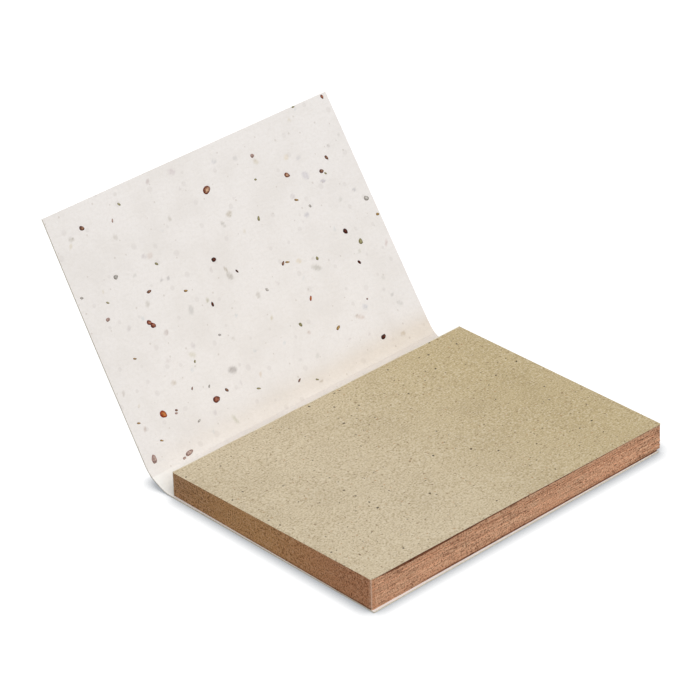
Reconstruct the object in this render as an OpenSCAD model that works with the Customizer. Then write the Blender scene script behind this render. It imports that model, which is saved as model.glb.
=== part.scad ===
// Memo pad in a folded card cover. The card is seed paper: one sheet folded round a glued pad
// of kraft notepaper as a back panel, a spine strip and a front panel, shown standing open.
// Origin: middle of the back panel's underside. X runs along the spine, Y towards the spine, Z up.

/* [Notepaper pad] */
// Length of a sheet along the glued edge
sheet_w = 105; // [60:0.5:210]
// Depth of a sheet from the glued edge to the free edge
sheet_d = 74; // [50:0.5:150]
// Thickness of the pad at the glued edge
pad_glued_t = 7.1; // [3:0.1:15]
// Thickness of the pad at the free edge, where the sheets lie looser
pad_free_t = 8.2; // [3:0.1:18]
// Bundles of sheets whose cut edges stand a little out of line
bundles = 16; // [4:1:24]
// How far the cut edges of a bundle stand out of line
edge_jog = 0.12; // [0:0.01:0.3]
// How far the lowest bundle is pushed back from the right-hand side
low_bundle_step = 1.1; // [0:0.1:2]
// Angle by which the pad was glued askew on the card
pad_skew = 0.4; // [0:0.1:1]
// Distance of the pad to the right of the card's middle
pad_shift = 0.8; // [0:0.1:2]
// Thickness of the film of padding glue along the spine side
glue_t = 0.12; // [0.05:0.01:0.3]

/* [Card cover] */
// How much shorter than a sheet the card is along the spine
card_trim = 0.8; // [0:0.1:3]
// Thickness of the card
card_t = 0.35; // [0.2:0.05:0.8]
// How far the back panel's free edge stands out past the pad
back_lip = 0.25; // [0:0.05:3]
// How much deeper than a sheet the front panel is
front_lip = 0.2; // [0:0.05:3]
// Gap between the pad's spine side and the first crease, at the pad's middle
crease_gap = 0.75; // [0.7:0.05:2]
// Running gap across a crease
fold_gap = 0.05; // [0.03:0.01:0.1]

/* [Spine strip as it lies open] */
// How much deeper than the pad's glued edge is thick the strip is
strip_spare = 0.7; // [0.6:0.05:2]
// Flat run beside the first crease
strip_lead = 0.3; // [0.25:0.05:3]
// Radius of the strip's upward curl
strip_radius = 10; // [4:0.5:40]
// Angle of the strip's upward curl
strip_curl = 27; // [0.5:0.5:40]

/* [Front panel as it stands open] */
// Sharp turn at the second crease
crease_turn = 10; // [0:0.5:30]
// Flat run beside the second crease
foot_lead = 0.3; // [0.25:0.05:3]
// Radius of the bend at the panel's foot
foot_radius = 11; // [4:0.5:40]
// Angle of the bend at the panel's foot
foot_curl = 19.6; // [0.5:0.1:30]

/* [Seeds in the card] */
// Length of the largest seed
seed_length = 2.4; // [1:0.1:3]
// Height to which a seed stands out of the card
seed_rise = 0.25; // [0.1:0.05:0.4]
// Facets round a seed
seed_sides = 12; // [8:2:24]

/* [Hidden] */
$fn = 48;
// Width of the card, and depths of its back panel, spine strip and front panel
card_w = sheet_w - card_trim;
back_d = back_lip + sheet_d + crease_gap;
strip_d = pad_glued_t + strip_spare;
front_d = sheet_d + front_lip;
// Least straight run before the second crease, and the curl for which that leaves the strip room
least_tail = 0.3;
strip_bend = min(strip_curl, (strip_d - strip_lead - least_tail) * 180 / (PI * strip_radius));
// Straight run of the strip up to the second crease, and of the front panel above its bend
strip_tail = strip_d - strip_lead - arc(strip_radius, strip_bend);
face_d = front_d - foot_lead - arc(foot_radius, foot_curl);
// Share of its thickness by which a bundle of sheets laps into the one below
bundle_lap = 0.2;
// Distance from the line of a crease to the cut end of the card before it
crease_clear = card_t / 2 + fold_gap;
// Flats along a curl, and degrees for each flat round a crease edge
curl_steps = 10;
edge_step = 15;
// Share of a seed's outline that its flat crown keeps
seed_crown = 0.6;
// Place of the first crease along Y
crease_y = back_d / 2;
// Seeds that show on the inner face, each as five numbers: per cent of the card's width from its left
// edge, per cent of the straight face up from the bend, length and width in per cent of the largest
// seed's length, and turn
SEEDS = [
    [50.5, 84, 100, 75, 60], [10, 91, 65, 50, 20], [43.5, 58.5, 65, 55, 30], [49, 50.5, 55, 35, 70],
    [46.5, 50, 75, 60, 10], [21.5, 58.5, 60, 30, 35], [38, 43.5, 55, 30, 100], [18, 47, 90, 60, -40],
    [76.5, 76, 60, 45, 50], [87.5, 71.5, 55, 35, 80], [86.5, 46.5, 60, 45, 30], [90, 40, 55, 40, 60],
    [10.5, 14, 85, 60, -50], [27.5, 10, 80, 60, 60], [14.5, 13, 50, 30, 10], [31, 45, 70, 55, 0]
];

// Length of an arc
function arc(radius, angle) = radius * angle * PI / 180;

// Fraction from -1 to 1 that differs from one bundle to the next
function scatter(i) = sin(i * 137.5);

// One bundle of sheets: a thin wedge that is thicker at the free edge and laps into the one below
module bundle(i) {
    step = i == 0 ? low_bundle_step : 0;
    left = edge_jog * scatter(i + 5);
    right = sheet_w + edge_jog * scatter(i + 2) - step;
    front = -sheet_d - edge_jog * scatter(i);
    low = max(0, i - bundle_lap) / bundles;
    high = (i + 1) / bundles;
    translate([left, 0, 0]) rotate([90, 0, 90]) linear_extrude(right - left)
        polygon([[0, pad_glued_t * low], [0, pad_glued_t * high],
                 [front, pad_free_t * high], [front, pad_free_t * low]]);
}

// Places the pad's near left corner of the glued edge on the card
module on_back_panel() {
    translate([pad_shift, crease_y - crease_gap, card_t]) rotate(-pad_skew)
        translate([-sheet_w / 2, 0, 0]) children();
}

// Far end of a card that runs flat, curls upwards and runs straight: along, up
function far_end(lead, radius, angle, run) =
    [lead + radius * sin(angle) + run * cos(angle), radius * (1 - cos(angle)) + run * sin(angle)];

// Middle line of such a card, as places with their headings
function card_line(lead, radius, angle, run) = concat(
    [[[0, 0], 0]],
    [for (i = [0 : curl_steps]) let(a = angle * i / curl_steps) [far_end(lead, radius, a, 0), a]],
    [[far_end(lead, radius, angle, run), angle]]);

// Point beside the middle line, at a distance from it
function beside(place, distance) = place[0] + distance * [-sin(place[1]), cos(place[1])];

// Card folded at the origin: its crease edge is round about the line on which it folds
module folded_card(lead, radius, angle, run) {
    line = card_line(lead, radius, angle, run);
    last = len(line) - 1;
    upper = [for (i = [last : -1 : 0]) beside(line[i], card_t / 2)];
    crease = [for (a = [90 + edge_step : edge_step : 270 - edge_step]) card_t / 2 * [cos(a), sin(a)]];
    lower = [for (i = [0 : last]) beside(line[i], -card_t / 2)];
    rotate([90, 0, 90]) linear_extrude(card_w, center = true) polygon(concat(upper, crease, lower));
}

// Moves what follows to the first crease, where the strip starts
module at_first_crease() {
    translate([0, crease_y, card_t / 2]) children();
}

// Moves what follows to the second crease and turns it along the front panel's foot
module at_second_crease() {
    end = far_end(strip_lead, strip_radius, strip_bend, strip_tail);
    at_first_crease() translate([0, end[0], end[1]]) rotate([strip_bend + crease_turn, 0, 0]) children();
}

// Moves what follows to where the front panel is straight
module at_panel_face() {
    end = far_end(foot_lead, foot_radius, foot_curl, 0);
    at_second_crease() translate([0, end[0], end[1]]) rotate([foot_curl, 0, 0]) children();
}

module page_block() {
    color("#c2b28e") on_back_panel() for (i = [0 : bundles - 1]) bundle(i);
}

module padding_glue() {
    color("#e9e3d3") on_back_panel() cube([sheet_w, glue_t, pad_glued_t]);
}

module back_cover() {
    color("#efebe4") translate([-card_w / 2, -crease_y, 0]) cube([card_w, back_d - crease_clear, card_t]);
}

module spine_strip() {
    color("#f4f1eb") at_first_crease()
        folded_card(strip_lead, strip_radius, strip_bend, strip_tail - crease_clear);
}

module front_cover() {
    color("#efebe4") at_second_crease() folded_card(foot_lead, foot_radius, foot_curl, face_d);
}

// One seed: the low oval hump of it that stands out of the card
module seed(length, width, turn) {
    rotate(turn) scale([length / 2, width / 2, seed_rise])
        cylinder(r1 = 1, r2 = seed_crown, h = 1, $fn = seed_sides);
}

module cover_seeds() {
    color("#6b3b22") at_panel_face() for (s = SEEDS)
        translate([card_w * (s[0] / 100 - 1 / 2), face_d * s[1] / 100, card_t / 2])
            seed(seed_length * s[2] / 100, seed_length * s[3] / 100, s[4]);
}

page_block();
padding_glue();
back_cover();
spine_strip();
front_cover();
cover_seeds();
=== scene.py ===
"""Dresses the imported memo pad: kraft sheets glued into a folded cover of seed paper.

Sizes in the classes are real millimetres in the row frame: X runs along the spine, Y towards the
spine and Z up, and the origin is the middle of the back panel's underside. MM turns them to metres
where a mesh is written.
"""

import logging
import math
import random
from dataclasses import dataclass, field
from enum import Enum

import bmesh
import bpy
import numpy as np
from mathutils import Matrix, Vector, noise


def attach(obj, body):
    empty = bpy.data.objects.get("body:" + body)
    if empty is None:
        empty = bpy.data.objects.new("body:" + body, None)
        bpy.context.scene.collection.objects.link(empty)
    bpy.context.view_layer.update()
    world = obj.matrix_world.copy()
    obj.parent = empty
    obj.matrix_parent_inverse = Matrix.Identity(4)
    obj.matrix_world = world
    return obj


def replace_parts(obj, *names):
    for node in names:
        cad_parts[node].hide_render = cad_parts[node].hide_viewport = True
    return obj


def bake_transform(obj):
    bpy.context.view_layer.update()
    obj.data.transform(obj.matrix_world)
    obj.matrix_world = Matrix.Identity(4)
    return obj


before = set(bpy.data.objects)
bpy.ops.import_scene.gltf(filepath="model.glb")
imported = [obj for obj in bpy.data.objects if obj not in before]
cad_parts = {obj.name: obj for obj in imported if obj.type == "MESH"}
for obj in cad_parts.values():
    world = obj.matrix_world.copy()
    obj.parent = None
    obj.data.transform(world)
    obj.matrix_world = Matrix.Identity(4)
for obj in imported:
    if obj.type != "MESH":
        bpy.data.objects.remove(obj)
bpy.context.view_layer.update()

LOG = logging.getLogger("notepad")
MM = 0.001
# Length in millimetres that one unit of the card's own flat coordinates stands for
FLAT_UNIT = 200.0
# Settings of nodes that several finishes share
BLEND = {"data_type": "RGBA"}
TINT = {"data_type": "RGBA", "blend_type": "MULTIPLY"}
EASE = {"interpolation_type": "SMOOTHSTEP"}
TIMES = {"operation": "MULTIPLY"}
# A colour in a node tree, as the socket that gives it or as one linear colour
Colour = bpy.types.NodeSocket | tuple[float, float, float, float]


def linear(code: str) -> tuple[float, float, float, float]:
    """Turns an sRGB colour to the linear one that shaders take.

    Args:
        code: The colour as #rrggbb.

    Returns:
        Linear red, green, blue and an alpha of one.
    """
    parts = [int(code[i:i + 2], 16) / 255 for i in (1, 3, 5)]
    red, green, blue = (p / 12.92 if p <= 0.04045 else ((p + 0.055) / 1.055) ** 2.4 for p in parts)
    return red, green, blue, 1.0


def add_node(tree: bpy.types.NodeTree, kind: str, settings: dict | None = None,
             inputs: dict | None = None) -> bpy.types.Node:
    """Adds a node with its settings and links.

    Args:
        tree: Node tree that takes the node.
        kind: Blender's name of the node.
        settings: Properties of the node by name.
        inputs: Values or output sockets by input name or number.

    Returns:
        The new node.
    """
    node = tree.nodes.new(kind)
    for name, value in (settings or {}).items():
        setattr(node, name, value)
    for key, value in (inputs or {}).items():
        if isinstance(value, bpy.types.NodeSocket):
            tree.links.new(value, node.inputs[key])
        else:
            node.inputs[key].default_value = value
    return node


def empty_tree(owner: bpy.types.Material | bpy.types.World) -> bpy.types.NodeTree:
    """Gives a material or a world a node tree without nodes."""
    owner.use_nodes = True
    owner.node_tree.nodes.clear()
    return owner.node_tree


def specks(tree: bpy.types.NodeTree, place: bpy.types.NodeSocket, spacing: float, radius: float,
           share: float, unit: float) -> bpy.types.NodeSocket:
    """Scatters round specks of uneven size over a sheet's face.

    Args:
        tree: Node tree of the material.
        place: Socket of the coordinates.
        spacing: Mean distance of the places for a speck in millimetres.
        radius: Largest radius of a speck in millimetres.
        share: Share of the places that hold a speck.
        unit: Millimetres in one unit of the coordinates.

    Returns:
        Socket that is one in a speck and zero outside.
    """
    cells = add_node(tree, "ShaderNodeTexVoronoi", {"voronoi_dimensions": "2D"},
                     {"Vector": place, "Scale": unit / spacing})
    lots = add_node(tree, "ShaderNodeSeparateColor", inputs={0: cells.outputs["Color"]})
    held = add_node(tree, "ShaderNodeMath", {"operation": "LESS_THAN"}, {0: lots.outputs[0], 1: share})
    reach = add_node(tree, "ShaderNodeMapRange", inputs={
        0: lots.outputs[1], 3: 0.45 * radius / spacing, 4: radius / spacing})
    far = add_node(tree, "ShaderNodeMath", {"operation": "DIVIDE"},
                   {0: cells.outputs["Distance"], 1: reach.outputs[0]})
    mark = add_node(tree, "ShaderNodeMapRange", EASE, {0: far.outputs[0], 1: 0.65, 2: 1.15, 3: 1.0, 4: 0.0})
    return add_node(tree, "ShaderNodeMath", TIMES, {0: held.outputs[0], 1: mark.outputs[0]}).outputs[0]


def fibres(tree: bpy.types.NodeTree, place: bpy.types.NodeSocket, length: float, width: float,
           angle: float, share: float, unit: float) -> bpy.types.NodeSocket:
    """Lays short fibres that all run about one way.

    Args:
        tree: Node tree of the material.
        place: Socket of the coordinates.
        length: Length of a fibre in millimetres.
        width: Width of a fibre in millimetres.
        angle: Direction of the fibres in degrees.
        share: Share of the surface that they take up, about.
        unit: Millimetres in one unit of the coordinates.

    Returns:
        Socket that is one on a fibre and zero beside it.
    """
    turned = add_node(tree, "ShaderNodeMapping", inputs={
        "Vector": place, "Rotation": (0.0, 0.0, math.radians(angle)),
        "Scale": (unit / length, unit / width, unit / length)})
    grain = add_node(tree, "ShaderNodeTexNoise", inputs={
        "Vector": turned.outputs[0], "Scale": 1.0, "Detail": 1.0, "Distortion": 0.6})
    edge = 0.72 - 0.35 * share
    return add_node(tree, "ShaderNodeMapRange", EASE, {
        0: grain.outputs[0], 1: edge, 2: edge + 0.05}).outputs[0]


@dataclass(frozen=True)
class Finish:
    """Finish of one material: its name and how it scatters light. Each kind paints its own colour."""

    name: str
    roughness: float = 0.9
    specular: float = 0.25
    bump_strength: float = 0.35
    # Real height of the relief in millimetres
    relief: float = 0.06

    def paint(self, tree: bpy.types.NodeTree) -> tuple[bpy.types.NodeSocket, bpy.types.NodeSocket]:
        """Adds the nodes of the colour and the relief and returns their sockets."""
        raise NotImplementedError

    def mottled(self, tree: bpy.types.NodeTree, colour: Colour, layers: tuple) -> bpy.types.NodeSocket:
        """Tints a colour by smooth patterns.

        Args:
            tree: Node tree of the material.
            colour: Colour below the tints.
            layers: For each tint, its pattern's socket, its sRGB colour, the pattern's values where the
                tint begins and where it is full, and its greatest share.

        Returns:
            Socket of the tinted colour.
        """
        for pattern, tint, start, full, most in layers:
            share = add_node(tree, "ShaderNodeMapRange", EASE, {0: pattern, 1: start, 2: full, 4: most})
            colour = add_node(tree, "ShaderNodeMix", BLEND, {
                0: share.outputs[0], 6: colour, 7: linear(tint)}).outputs[2]
        return colour

    def marked(self, tree: bpy.types.NodeTree, colour: Colour, layers: list) -> bpy.types.NodeSocket:
        """Lays scattered marks over a colour.

        Args:
            tree: Node tree of the material.
            colour: Colour below the marks.
            layers: For each kind of mark, its pattern's socket, its sRGB colour and its strength.

        Returns:
            Socket of the marked colour.
        """
        for pattern, tint, strength in layers:
            faint = add_node(tree, "ShaderNodeMath", TIMES, {0: pattern, 1: strength})
            colour = add_node(tree, "ShaderNodeMix", BLEND, {
                0: faint.outputs[0], 6: colour, 7: linear(tint)}).outputs[2]
        return colour

    def make(self) -> bpy.types.Material:
        """Builds the material from its colour and relief."""
        material = bpy.data.materials.new(self.name)
        tree = empty_tree(material)
        colour, height = self.paint(tree)
        bump = add_node(tree, "ShaderNodeBump", inputs={
            "Strength": self.bump_strength, "Distance": self.relief * MM, "Height": height})
        shader = add_node(tree, "ShaderNodeBsdfPrincipled", inputs={
            "Base Color": colour, "Roughness": self.roughness, "Specular IOR Level": self.specular,
            "Normal": bump.outputs[0]})
        add_node(tree, "ShaderNodeOutputMaterial", inputs={"Surface": shader.outputs[0]})
        return material


@dataclass(frozen=True)
class SeedPaper(Finish):
    """Handmade cotton paper with seeds couched into it: matt, softly cloudy, off-white and felted."""

    name: str = "handmade_seed_paper"
    roughness: float = 0.93
    bump_strength: float = 0.6
    relief: float = 0.11
    pulp: str = "#f2ede9"
    cloud: str = "#e6e0da"
    fibre: str = "#d8cfc3"
    fleck: str = "#b5a89a"
    stain: str = "#d6cfca"
    # Painted warm shade at the second crease
    fold_shade: str = "#efe2cd"
    # Painted light: paler colour of the spine strip's left end, where it lies out of the block's shade
    strip_light: str = "#faf7f2"
    # Real sizes in millimetres of the clouds, the pulp, the felt's marks and the flecks
    cloud_size: float = 12.0
    pulp_size: float = 0.9
    felt_size: tuple[float, float] = (2.8, 1.0)
    fleck_spacing: float = 5.0
    fleck_radius: float = 0.35
    fibre_width: float = 0.2

    def paint(self, tree: bpy.types.NodeTree) -> tuple[bpy.types.NodeSocket, bpy.types.NodeSocket]:
        """Adds the nodes of the colour and the relief and returns their sockets."""
        flat = add_node(tree, "ShaderNodeUVMap", {"uv_map": "flat"}).outputs[0]
        clouds = add_node(tree, "ShaderNodeTexNoise", {"noise_dimensions": "2D"}, {
            "Vector": flat, "Scale": FLAT_UNIT / self.cloud_size, "Detail": 4.0, "Roughness": 0.6})
        pulp = add_node(tree, "ShaderNodeTexNoise", {"noise_dimensions": "2D"}, {
            "Vector": flat, "Scale": FLAT_UNIT / self.pulp_size, "Detail": 3.0, "Roughness": 0.65})
        colour = self.mottled(tree, linear(self.pulp), (
            (clouds.outputs[0], self.cloud, 0.35, 0.75, 0.45), (pulp.outputs[0], self.cloud, 0.35, 0.75, 0.35)))
        marks = [(fibres(tree, flat, length, self.fibre_width, angle, 0.1, FLAT_UNIT), self.fibre, 0.16)
                 for angle, length in ((24.0, 3.0), (-52.0, 2.4), (83.0, 2.7))]
        marks += [(specks(tree, flat, spacing, radius, share, FLAT_UNIT), tint, 0.3)
                  for tint, spacing, radius, share in (
                      (self.stain, 6.0, 1.0, 0.5), (self.fleck, self.fleck_spacing, self.fleck_radius, 0.4))]
        colour = self.marked(tree, colour, marks)
        # Painted light on the strip's left end, out of the block's shade
        strip_light = add_node(tree, "ShaderNodeAttribute", {"attribute_name": "strip_light"})
        colour = add_node(tree, "ShaderNodeMix", BLEND, {
            0: strip_light.outputs["Fac"], 6: colour, 7: linear(self.strip_light)}).outputs[2]
        # Painted warm shade along the second crease
        fold = add_node(tree, "ShaderNodeAttribute", {"attribute_name": "fold"})
        colour = add_node(tree, "ShaderNodeMix", TINT, {
            0: fold.outputs["Fac"], 6: colour, 7: linear(self.fold_shade)}).outputs[2]
        # The veil colours hold the faint seeds and also the painted shade of the strip
        veil = add_node(tree, "ShaderNodeAttribute", {"attribute_name": "veil"})
        colour = add_node(tree, "ShaderNodeMix", TINT, {
            0: 1.0, 6: colour, 7: veil.outputs["Color"]}).outputs[2]
        stretched = add_node(tree, "ShaderNodeMapping", inputs={
            "Vector": flat, "Rotation": (0.0, 0.0, 0.3),
            "Scale": (FLAT_UNIT / self.felt_size[0], FLAT_UNIT / self.felt_size[1], 1.0)})
        felt = add_node(tree, "ShaderNodeTexNoise", {"noise_dimensions": "2D"}, {
            "Vector": stretched.outputs[0], "Scale": 1.0, "Detail": 2.0, "Distortion": 0.8})
        height = add_node(tree, "ShaderNodeMath", {"operation": "MULTIPLY_ADD"}, {
            0: pulp.outputs[0], 1: 0.4, 2: felt.outputs[0]})
        return colour, height.outputs[0]


@dataclass(frozen=True)
class KraftFace(Finish):
    """Uncoated recycled kraft notepaper: matt, sandy, with dark and rusty specks and short fibres."""

    name: str = "speckled_kraft_paper"
    bump_strength: float = 0.3
    relief: float = 0.04
    near: str = "#d3c3a5"
    far: str = "#c6b38a"
    grain_dark: str = "#8f7d5a"
    grain_pale: str = "#eae1cd"
    speck: str = "#2a1c14"
    brown: str = "#6d4c2c"
    rust: str = "#a4662c"
    # Real sizes in millimetres. The pulp's true grain is about 0.1 mm, too fine to show, so it is
    # drawn as coarse as the render can hold
    grain_size: float = 0.5
    cloud_size: float = 13.0
    fibre_size: tuple[float, float] = (1.8, 0.22)
    # How coarsely and how far the outline of a speck is ragged
    ragged_size: float = 0.9
    ragged_reach: float = 0.7
    # Places along the spine, in metres, between which the near tint turns to the far one
    drift: tuple[float, float] = (-0.03, 0.05)

    def paint(self, tree: bpy.types.NodeTree) -> tuple[bpy.types.NodeSocket, bpy.types.NodeSocket]:
        """Adds the nodes of the colour and the relief and returns their sockets."""
        unit = 1 / MM
        place = add_node(tree, "ShaderNodeTexCoord").outputs["Object"]
        parts = add_node(tree, "ShaderNodeSeparateXYZ", inputs={0: place})
        drift = add_node(tree, "ShaderNodeMapRange", EASE, {
            0: parts.outputs[0], 1: self.drift[0], 2: self.drift[1]})
        colour = add_node(tree, "ShaderNodeMix", BLEND, {
            0: drift.outputs[0], 6: linear(self.near), 7: linear(self.far)}).outputs[2]
        clouds = add_node(tree, "ShaderNodeTexNoise", inputs={
            "Vector": place, "Scale": unit / self.cloud_size, "Detail": 3.0})
        grain = add_node(tree, "ShaderNodeTexNoise", inputs={
            "Vector": place, "Scale": unit / self.grain_size, "Detail": 2.0, "Roughness": 0.7})
        colour = self.mottled(tree, colour, (
            (clouds.outputs[0], self.grain_dark, 0.4, 0.8, 0.15),
            (grain.outputs[0], self.grain_dark, 0.48, 0.72, 0.55),
            (grain.outputs[0], self.grain_pale, 0.52, 0.3, 0.42)))
        marks = [(fibres(tree, place, *self.fibre_size, angle, 0.2, unit), self.brown, 0.28)
                 for angle in (15.0, 74.0, -40.0)]
        wobble = add_node(tree, "ShaderNodeTexNoise", inputs={
            "Vector": place, "Scale": unit / self.ragged_size})
        reach = self.ragged_reach * MM
        ragged = add_node(tree, "ShaderNodeVectorMath", {"operation": "MULTIPLY_ADD"}, {
            0: wobble.outputs[1], 1: (reach, reach, 0.0), 2: place}).outputs[0]
        marks += [(specks(tree, ragged, spacing, radius, share, unit), tint, strength)
                  for tint, spacing, radius, share, strength in (
                      (self.brown, 1.3, 0.22, 0.5, 0.4), (self.rust, 3.1, 0.3, 0.3, 0.45),
                      (self.brown, 2.6, 0.3, 0.35, 0.6), (self.speck, 3.3, 0.24, 0.28, 0.8),
                      (self.speck, 4.6, 0.36, 0.14, 0.95))]
        return self.marked(tree, colour, marks), grain.outputs[0]


@dataclass(frozen=True)
class CutEdge(Finish):
    """Guillotined edges of the kraft sheets: redder and darker than the faces, in fine mottled layers."""

    name: str = "cut_kraft_edge"
    roughness: float = 0.95
    specular: float = 0.15
    bump_strength: float = 0.4
    # The front and the left side are painted as lit and shaded copies of one edge colour: the front paler, the
    # left side darker and warmer
    warm: str = "#fac19a"
    side: str = "#e8b275"
    side_front: str = "#e6a276"
    dark: str = "#6e3f24"
    pale: str = "#f3cfab"
    # Pale colour of the left front corner: partly wear of frayed fibres, partly a painted highlight
    wear_and_highlight: str = "#fbdcc2"
    # Tint of the painted shade on sheets that stand back in shadow, and the unshaded tint of those that stand
    # out
    shade: str = "#7c5a44"
    unshaded: str = "#ffffff"
    # Real sizes in millimetres: length of a streak along the edge and height of a group of sheets.
    # One sheet is 0.1 mm, too fine to show, so the layers are drawn as coarse as they need to show
    streak: float = 6.0
    layer: float = 0.34
    mottle_size: float = 0.42
    # Length of the stretches in which the layers show more or less clearly
    stretch: float = 18.0
    # Places in metres: along Y where the left side's tint changes, along X where the front begins
    side_drift: tuple[float, float] = (0.01, -0.036)
    front_start: tuple[float, float] = (-0.0521, -0.0512)

    def paint(self, tree: bpy.types.NodeTree) -> tuple[bpy.types.NodeSocket, bpy.types.NodeSocket]:
        """Adds the nodes of the colour and the relief and returns their sockets."""
        unit = 1 / MM
        place = add_node(tree, "ShaderNodeTexCoord").outputs["Object"]
        parts = add_node(tree, "ShaderNodeSeparateXYZ", inputs={0: place})
        along = add_node(tree, "ShaderNodeMapRange", EASE, {
            0: parts.outputs[1], 1: self.side_drift[0], 2: self.side_drift[1]})
        side = add_node(tree, "ShaderNodeMix", BLEND, {
            0: along.outputs[0], 6: linear(self.side), 7: linear(self.side_front)}).outputs[2]
        front = add_node(tree, "ShaderNodeMapRange", EASE, {
            0: parts.outputs[0], 1: self.front_start[0], 2: self.front_start[1]})
        colour = add_node(tree, "ShaderNodeMix", BLEND, {
            0: front.outputs[0], 6: side, 7: linear(self.warm)}).outputs[2]
        course = add_node(tree, "ShaderNodeUVMap", {"uv_map": "edge"}).outputs[0]
        layered = add_node(tree, "ShaderNodeMapping", inputs={
            "Vector": course, "Scale": (FLAT_UNIT / self.streak, FLAT_UNIT / self.layer, 1.0)})
        layers = add_node(tree, "ShaderNodeTexNoise", {"noise_dimensions": "2D"}, {
            "Vector": layered.outputs[0], "Scale": 1.0, "Detail": 2.0, "Roughness": 0.6})
        clear = add_node(tree, "ShaderNodeTexNoise", {"noise_dimensions": "2D"}, {
            "Vector": course, "Scale": FLAT_UNIT / self.stretch})
        strength = add_node(tree, "ShaderNodeMapRange", EASE, {0: clear.outputs[0], 1: 0.35, 2: 0.6, 3: 0.3})
        faced = add_node(tree, "ShaderNodeMapRange", inputs={0: front.outputs[0], 3: 0.4, 4: 1.0})
        shown = add_node(tree, "ShaderNodeMath", TIMES, {0: strength.outputs[0], 1: faced.outputs[0]})
        mottle = add_node(tree, "ShaderNodeTexNoise", inputs={
            "Vector": place, "Scale": unit / self.mottle_size, "Detail": 2.0, "Roughness": 0.7})
        layered_most = add_node(tree, "ShaderNodeMath", TIMES, {0: shown.outputs[0], 1: 0.6}).outputs[0]
        colour = self.mottled(tree, colour, (
            (layers.outputs[0], self.dark, 0.48, 0.7, layered_most),
            (layers.outputs[0], self.pale, 0.5, 0.32, layered_most),
            (mottle.outputs[0], self.dark, 0.47, 0.7, 0.85), (mottle.outputs[0], self.pale, 0.52, 0.3, 0.62)))
        # The tone holds each sheet's own tone and the painted shade of sheets that stand back
        tone = add_node(tree, "ShaderNodeAttribute", {"attribute_name": "tone"})
        shaded = add_node(tree, "ShaderNodeMix", BLEND, {
            0: tone.outputs["Fac"], 6: linear(self.shade), 7: linear(self.unshaded)})
        colour = add_node(tree, "ShaderNodeMix", TINT, {
            0: 1.0, 6: colour, 7: shaded.outputs[2]}).outputs[2]
        # Painted highlight and wear on the left front corner
        wear_and_highlight = add_node(tree, "ShaderNodeAttribute", {"attribute_name": "wear_and_highlight"})
        colour = add_node(tree, "ShaderNodeMix", BLEND, {
            0: wear_and_highlight.outputs["Fac"], 6: colour, 7: linear(self.wear_and_highlight)}).outputs[2]
        return colour, mottle.outputs[0]


@dataclass(frozen=True)
class PaddingGlue(Finish):
    """Dried padding compound: a milky, slightly rubbery film with brush marks and a soft gleam."""

    name: str = "dried_padding_glue"
    roughness: float = 0.42
    specular: float = 0.5
    bump_strength: float = 0.5
    film: str = "#e6dfcf"
    thin: str = "#cdbb98"
    # Real length and height of a brush mark in millimetres
    stroke: tuple[float, float] = (14.0, 0.7)

    def paint(self, tree: bpy.types.NodeTree) -> tuple[bpy.types.NodeSocket, bpy.types.NodeSocket]:
        """Adds the nodes of the colour and the relief and returns their sockets."""
        unit = 1 / MM
        place = add_node(tree, "ShaderNodeTexCoord").outputs["Object"]
        drawn = add_node(tree, "ShaderNodeMapping", inputs={
            "Vector": place, "Scale": (unit / self.stroke[0], unit / self.stroke[0], unit / self.stroke[1])})
        brush = add_node(tree, "ShaderNodeTexNoise", inputs={
            "Vector": drawn.outputs[0], "Scale": 1.0, "Detail": 3.0})
        colour = self.mottled(tree, linear(self.film), ((brush.outputs[0], self.thin, 0.4, 0.75, 0.7),))
        return colour, brush.outputs[0]


@dataclass(frozen=True)
class SeedHusk(Finish):
    """Dry seed husks: each has its own brown or grey, a paler crown and a fine wrinkled, satin skin."""

    name: str = "dry_seed_husk"
    roughness: float = 0.6
    specular: float = 0.16
    bump_strength: float = 0.5
    # Real size of a wrinkle in millimetres
    wrinkle: float = 0.35

    def paint(self, tree: bpy.types.NodeTree) -> tuple[bpy.types.NodeSocket, bpy.types.NodeSocket]:
        """Adds the nodes of the colour and the relief and returns their sockets."""
        place = add_node(tree, "ShaderNodeTexCoord").outputs["Object"]
        skin = add_node(tree, "ShaderNodeTexNoise", inputs={
            "Vector": place, "Scale": 1 / (self.wrinkle * MM), "Detail": 2.0, "Roughness": 0.6})
        husk = add_node(tree, "ShaderNodeAttribute", {"attribute_name": "husk"})
        shade = add_node(tree, "ShaderNodeMapRange", EASE, {
            0: skin.outputs[0], 1: 0.3, 2: 0.7, 3: 0.6, 4: 1.25})
        colour = add_node(tree, "ShaderNodeMix", TINT, {
            0: 1.0, 6: husk.outputs["Color"], 7: shade.outputs[0]})
        return colour.outputs[2], skin.outputs[0]


class Husk(Enum):
    """Kinds of seed and chaff in the paper, each with the colours of its rim and its crown."""

    BLACK = ("#280600", "#5e2c1c")
    DARK = ("#4c1f10", "#a0785f")
    BROWN = ("#6c3016", "#d0a788")
    RED = ("#5c1a0c", "#b87a60")
    ORANGE = ("#87290c", "#d78a4c")
    GOLD = ("#7d5c2c", "#b8975e")
    OLIVE = ("#777049", "#a8a078")
    PINK = ("#9a7d74", "#bfa69b")
    GREY = ("#9a938b", "#cdc8c1")


@dataclass(frozen=True)
class Mark:
    """One seed or bit of chaff: its place on the card, its size in millimetres and its turn."""

    left: float
    up: float
    length: float
    width: float
    turn: float
    husk: Husk


@dataclass(frozen=True)
class Veil:
    """A seed that shows faintly through the pulp, as a soft stain."""

    left: float
    up: float
    length: float
    width: float
    turn: float
    tint: str


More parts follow.
